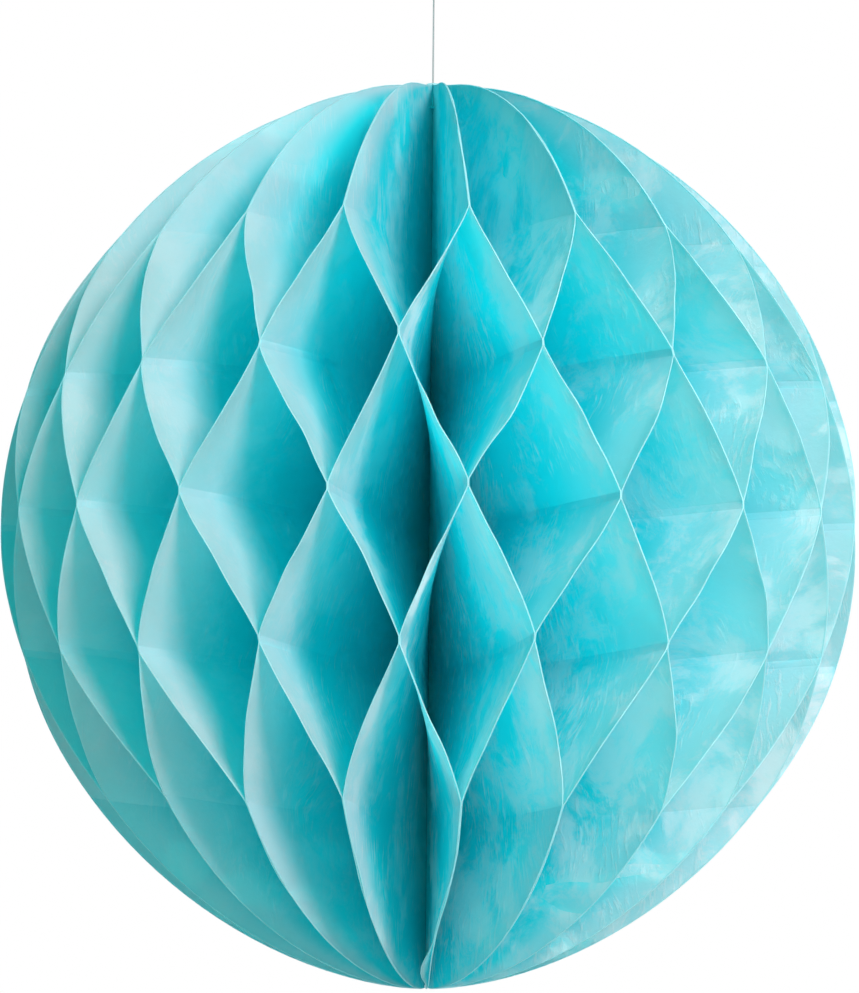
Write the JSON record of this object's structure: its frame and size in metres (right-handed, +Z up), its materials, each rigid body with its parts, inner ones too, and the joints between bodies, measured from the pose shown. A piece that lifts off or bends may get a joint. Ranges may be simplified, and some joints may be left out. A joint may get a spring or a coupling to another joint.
{
  "type": "paper honeycomb ball",
  "caption": "Hanging tissue paper honeycomb ball that folds flat: thin half-disc leaves fan out round a central spine between two cover cards, held by a thread loop.",
  "frame": {"origin": "the point where the hanging loop bears on a hook; the ball hangs below it", "axes": "+Z up along the hanging thread and the ball's spine, -Y through the front meridian, +Y through the seam where the two covers meet, +X to the right seen from the front"},
  "size_m": [0.2002, 0.1989, 0.2702],
  "materials": {
    "tissue": "thin translucent turquoise tissue, matte",
    "cover_card": "matte card",
    "adhesive": "double-sided foam tape",
    "thread": "twisted cotton thread"
  },
  "bodies": {
    "spine": {"top_tie": "thread", "bottom_tie": "thread", "hanging_sling": "thread", "anchor_knot": "thread", "hanging_thread": "thread", "loop_knot": "thread", "hanging_loop": "thread"},
    "right_01": {"leaf_right_01": "tissue"},
    "right_02": {"leaf_right_02": "tissue"},
    "right_03": {"leaf_right_03": "tissue"},
    "right_04": {"leaf_right_04": "tissue"},
    "right_05": {"leaf_right_05": "tissue"},
    "right_06": {"leaf_right_06": "tissue"},
    "right_07": {"leaf_right_07": "tissue"},
    "right_08": {"leaf_right_08": "tissue"},
    "right_09": {"leaf_right_09": "tissue"},
    "right_10": {"leaf_right_10": "tissue"},
    "right_11": {"leaf_right_11": "tissue"},
    "right_12": {"leaf_right_12": "tissue"},
    "right_13": {"leaf_right_13": "tissue"},
    "right_14": {"leaf_right_14": "tissue"},
    "right_15": {"leaf_right_15": "tissue"},
    "right_16": {"leaf_right_16": "tissue"},
    "right_17": {"leaf_right_17": "tissue"},
    "right_18": {"leaf_right_18": "tissue"},
    "right_19": {"leaf_right_19": "tissue"},
    "right_20": {"leaf_right_20": "tissue"},
    "right_21": {"leaf_right_21": "tissue", "cover_right": "cover_card", "adhesive_pads": "adhesive"},
    "left_01": {"leaf_left_01": "tissue"},
    "left_02": {"leaf_left_02": "tissue"},
    "left_03": {"leaf_left_03": "tissue"},
    "left_04": {"leaf_left_04": "tissue"},
    "left_05": {"leaf_left_05": "tissue"},
    "left_06": {"leaf_left_06": "tissue"},
    "left_07": {"leaf_left_07": "tissue"},
    "left_08": {"leaf_left_08": "tissue"},
    "left_09": {"leaf_left_09": "tissue"},
    "left_10": {"leaf_left_10": "tissue"},
    "left_11": {"leaf_left_11": "tissue"},
    "left_12": {"leaf_left_12": "tissue"},
    "left_13": {"leaf_left_13": "tissue"},
    "left_14": {"leaf_left_14": "tissue"},
    "left_15": {"leaf_left_15": "tissue"},
    "left_16": {"leaf_left_16": "tissue"},
    "left_17": {"leaf_left_17": "tissue"},
    "left_18": {"leaf_left_18": "tissue"},
    "left_19": {"leaf_left_19": "tissue"},
    "left_20": {"leaf_left_20": "tissue"},
    "left_21": {"leaf_left_21": "tissue", "cover_left": "cover_card"}
  },
  "joints": [
    {"name": "fold", "type": "hinge", "parent": "spine", "child": "right_01", "pos_m": [0.00047, -0.00133, -0.1628], "axis": [0, 0, 1], "range_deg": [-8.57, 0], "deforming": ["top_tie", "bottom_tie", "hanging_sling"]},
    {"name": "fold_right_02", "type": "hinge", "parent": "right_01", "child": "right_02", "pos_m": [0.00066, -0.0013, -0.1628], "axis": [0, 0, 1], "range_deg": [-8.57, 0]},
    {"name": "fold_right_03", "type": "hinge", "parent": "right_02", "child": "right_03", "pos_m": [0.00085, -0.00125, -0.1628], "axis": [0, 0, 1], "range_deg": [-8.57, 0]},
    {"name": "fold_right_04", "type": "hinge", "parent": "right_03", "child": "right_04", "pos_m": [0.00103, -0.00116, -0.1628], "axis": [0, 0, 1], "range_deg": [-8.57, 0]},
    {"name": "fold_right_05", "type": "hinge", "parent": "right_04", "child": "right_05", "pos_m": [0.0012, -0.00105, -0.1628], "axis": [0, 0, 1], "range_deg": [-8.57, 0]},
    {"name": "fold_right_06", "type": "hinge", "parent": "right_05", "child": "right_06", "pos_m": [0.00135, -0.00091, -0.1628], "axis": [0, 0, 1], "range_deg": [-8.57, 0]},
    {"name": "fold_right_07", "type": "hinge", "parent": "right_06", "child": "right_07", "pos_m": [0.00147, -0.00075, -0.1628], "axis": [0, 0, 1], "range_deg": [-8.57, 0]},
    {"name": "fold_right_08", "type": "hinge", "parent": "right_07", "child": "right_08", "pos_m": [0.00157, -0.00058, -0.1628], "axis": [0, 0, 1], "range_deg": [-8.57, 0]},
    {"name": "fold_right_09", "type": "hinge", "parent": "right_08", "child": "right_09", "pos_m": [0.00164, -0.00039, -0.1628], "axis": [0, 0, 1], "range_deg": [-8.57, 0]},
    {"name": "fold_right_10", "type": "hinge", "parent": "right_09", "child": "right_10", "pos_m": [0.00169, -0.0002, -0.1628], "axis": [0, 0, 1], "range_deg": [-8.57, 0]},
    {"name": "fold_right_11", "type": "hinge", "parent": "right_10", "child": "right_11", "pos_m": [0.0017, 0, -0.1628], "axis": [0, 0, 1], "range_deg": [-8.57, 0]},
    {"name": "fold_right_12", "type": "hinge", "parent": "right_11", "child": "right_12", "pos_m": [0.00169, 0.0002, -0.1628], "axis": [0, 0, 1], "range_deg": [-8.57, 0]},
    {"name": "fold_right_13", "type": "hinge", "parent": "right_12", "child": "right_13", "pos_m": [0.00164, 0.00039, -0.1628], "axis": [0, 0, 1], "range_deg": [-8.57, 0]},
    {"name": "fold_right_14", "type": "hinge", "parent": "right_13", "child": "right_14", "pos_m": [0.00157, 0.00058, -0.1628], "axis": [0, 0, 1], "range_deg": [-8.57, 0]},
    {"name": "fold_right_15", "type": "hinge", "parent": "right_14", "child": "right_15", "pos_m": [0.00147, 0.00075, -0.1628], "axis": [0, 0, 1], "range_deg": [-8.57, 0]},
    {"name": "fold_right_16", "type": "hinge", "parent": "right_15", "child": "right_16", "pos_m": [0.00135, 0.00091, -0.1628], "axis": [0, 0, 1], "range_deg": [-8.57, 0]},
    {"name": "fold_right_17", "type": "hinge", "parent": "right_16", "child": "right_17", "pos_m": [0.0012, 0.00105, -0.1628], "axis": [0, 0, 1], "range_deg": [-8.57, 0]},
    {"name": "fold_right_18", "type": "hinge", "parent": "right_17", "child": "right_18", "pos_m": [0.00103, 0.00116, -0.1628], "axis": [0, 0, 1], "range_deg": [-8.57, 0]},
    {"name": "fold_right_19", "type": "hinge", "parent": "right_18", "child": "right_19", "pos_m": [0.00085, 0.00125, -0.1628], "axis": [0, 0, 1], "range_deg": [-8.57, 0]},
    {"name": "fold_right_20", "type": "hinge", "parent": "right_19", "child": "right_20", "pos_m": [0.00066, 0.0013, -0.1628], "axis": [0, 0, 1], "range_deg": [-8.57, 0]},
    {"name": "fold_right_21", "type": "hinge", "parent": "right_20", "child": "right_21", "pos_m": [0.00047, 0.00133, -0.1628], "axis": [0, 0, 1], "range_deg": [-8.57, 0]},
    {"name": "fold_left_01", "type": "hinge", "parent": "spine", "child": "left_01", "pos_m": [-0.00047, -0.00133, -0.1628], "axis": [0, 0, 1], "range_deg": [0, 8.57]},
    {"name": "fold_left_02", "type": "hinge", "parent": "left_01", "child": "left_02", "pos_m": [-0.00066, -0.0013, -0.1628], "axis": [0, 0, 1], "range_deg": [0, 8.57]},
    {"name": "fold_left_03", "type": "hinge", "parent": "left_02", "child": "left_03", "pos_m": [-0.00085, -0.00125, -0.1628], "axis": [0, 0, 1], "range_deg": [0, 8.57]},
    {"name": "fold_left_04", "type": "hinge", "parent": "left_03", "child": "left_04", "pos_m": [-0.00103, -0.00116, -0.1628], "axis": [0, 0, 1], "range_deg": [0, 8.57]},
    {"name": "fold_left_05", "type": "hinge", "parent": "left_04", "child": "left_05", "pos_m": [-0.0012, -0.00105, -0.1628], "axis": [0, 0, 1], "range_deg": [0, 8.57]},
    {"name": "fold_left_06", "type": "hinge", "parent": "left_05", "child": "left_06", "pos_m": [-0.00135, -0.00091, -0.1628], "axis": [0, 0, 1], "range_deg": [0, 8.57]},
    {"name": "fold_left_07", "type": "hinge", "parent": "left_06", "child": "left_07", "pos_m": [-0.00147, -0.00075, -0.1628], "axis": [0, 0, 1], "range_deg": [0, 8.57]},
    {"name": "fold_left_08", "type": "hinge", "parent": "left_07", "child": "left_08", "pos_m": [-0.00157, -0.00058, -0.1628], "axis": [0, 0, 1], "range_deg": [0, 8.57]},
    {"name": "fold_left_09", "type": "hinge", "parent": "left_08", "child": "left_09", "pos_m": [-0.00164, -0.00039, -0.1628], "axis": [0, 0, 1], "range_deg": [0, 8.57]},
    {"name": "fold_left_10", "type": "hinge", "parent": "left_09", "child": "left_10", "pos_m": [-0.00169, -0.0002, -0.1628], "axis": [0, 0, 1], "range_deg": [0, 8.57]},
    {"name": "fold_left_11", "type": "hinge", "parent": "left_10", "child": "left_11", "pos_m": [-0.0017, 0, -0.1628], "axis": [0, 0, 1], "range_deg": [0, 8.57]},
    {"name": "fold_left_12", "type": "hinge", "parent": "left_11", "child": "left_12", "pos_m": [-0.00169, 0.0002, -0.1628], "axis": [0, 0, 1], "range_deg": [0, 8.57]},
    {"name": "fold_left_13", "type": "hinge", "parent": "left_12", "child": "left_13", "pos_m": [-0.00164, 0.00039, -0.1628], "axis": [0, 0, 1], "range_deg": [0, 8.57]},
    {"name": "fold_left_14", "type": "hinge", "parent": "left_13", "child": "left_14", "pos_m": [-0.00157, 0.00058, -0.1628], "axis": [0, 0, 1], "range_deg": [0, 8.57]},
    {"name": "fold_left_15", "type": "hinge", "parent": "left_14", "child": "left_15", "pos_m": [-0.00147, 0.00075, -0.1628], "axis": [0, 0, 1], "range_deg": [0, 8.57]},
    {"name": "fold_left_16", "type": "hinge", "parent": "left_15", "child": "left_16", "pos_m": [-0.00135, 0.00091, -0.1628], "axis": [0, 0, 1], "range_deg": [0, 8.57]},
    {"name": "fold_left_17", "type": "hinge", "parent": "left_16", "child": "left_17", "pos_m": [-0.0012, 0.00105, -0.1628], "axis": [0, 0, 1], "range_deg": [0, 8.57]},
    {"name": "fold_left_18", "type": "hinge", "parent": "left_17", "child": "left_18", "pos_m": [-0.00103, 0.00116, -0.1628], "axis": [0, 0, 1], "range_deg": [0, 8.57]},
    {"name": "fold_left_19", "type": "hinge", "parent": "left_18", "child": "left_19", "pos_m": [-0.00085, 0.00125, -0.1628], "axis": [0, 0, 1], "range_deg": [0, 8.57]},
    {"name": "fold_left_20", "type": "hinge", "parent": "left_19", "child": "left_20", "pos_m": [-0.00066, 0.0013, -0.1628], "axis": [0, 0, 1], "range_deg": [0, 8.57]},
    {"name": "fold_left_21", "type": "hinge", "parent": "left_20", "child": "left_21", "pos_m": [-0.00047, 0.00133, -0.1628], "axis": [0, 0, 1], "range_deg": [0, 8.57]}
  ],
  "couplings": [
    {"joint": "fold_right_02", "follows": "fold", "ratio": 1},
    {"joint": "fold_right_03", "follows": "fold", "ratio": 1},
    {"joint": "fold_right_04", "follows": "fold", "ratio": 1},
    {"joint": "fold_right_05", "follows": "fold", "ratio": 1},
    {"joint": "fold_right_06", "follows": "fold", "ratio": 1},
    {"joint": "fold_right_07", "follows": "fold", "ratio": 1},
    {"joint": "fold_right_08", "follows": "fold", "ratio": 1},
    {"joint": "fold_right_09", "follows": "fold", "ratio": 1},
    {"joint": "fold_right_10", "follows": "fold", "ratio": 1},
    {"joint": "fold_right_11", "follows": "fold", "ratio": 1},
    {"joint": "fold_right_12", "follows": "fold", "ratio": 1},
    {"joint": "fold_right_13", "follows": "fold", "ratio": 1},
    {"joint": "fold_right_14", "follows": "fold", "ratio": 1},
    {"joint": "fold_right_15", "follows": "fold", "ratio": 1},
    {"joint": "fold_right_16", "follows": "fold", "ratio": 1},
    {"joint": "fold_right_17", "follows": "fold", "ratio": 1},
    {"joint": "fold_right_18", "follows": "fold", "ratio": 1},
    {"joint": "fold_right_19", "follows": "fold", "ratio": 1},
    {"joint": "fold_right_20", "follows": "fold", "ratio": 1},
    {"joint": "fold_right_21", "follows": "fold", "ratio": 1},
    {"joint": "fold_left_01", "follows": "fold", "ratio": -1},
    {"joint": "fold_left_02", "follows": "fold", "ratio": -1},
    {"joint": "fold_left_03", "follows": "fold", "ratio": -1},
    {"joint": "fold_left_04", "follows": "fold", "ratio": -1},
    {"joint": "fold_left_05", "follows": "fold", "ratio": -1},
    {"joint": "fold_left_06", "follows": "fold", "ratio": -1},
    {"joint": "fold_left_07", "follows": "fold", "ratio": -1},
    {"joint": "fold_left_08", "follows": "fold", "ratio": -1},
    {"joint": "fold_left_09", "follows": "fold", "ratio": -1},
    {"joint": "fold_left_10", "follows": "fold", "ratio": -1},
    {"joint": "fold_left_11", "follows": "fold", "ratio": -1},
    {"joint": "fold_left_12", "follows": "fold", "ratio": -1},
    {"joint": "fold_left_13", "follows": "fold", "ratio": -1},
    {"joint": "fold_left_14", "follows": "fold", "ratio": -1},
    {"joint": "fold_left_15", "follows": "fold", "ratio": -1},
    {"joint": "fold_left_16", "follows": "fold", "ratio": -1},
    {"joint": "fold_left_17", "follows": "fold", "ratio": -1},
    {"joint": "fold_left_18", "follows": "fold", "ratio": -1},
    {"joint": "fold_left_19", "follows": "fold", "ratio": -1},
    {"joint": "fold_left_20", "follows": "fold", "ratio": -1},
    {"joint": "fold_left_21", "follows": "fold", "ratio": -1}
  ]
}
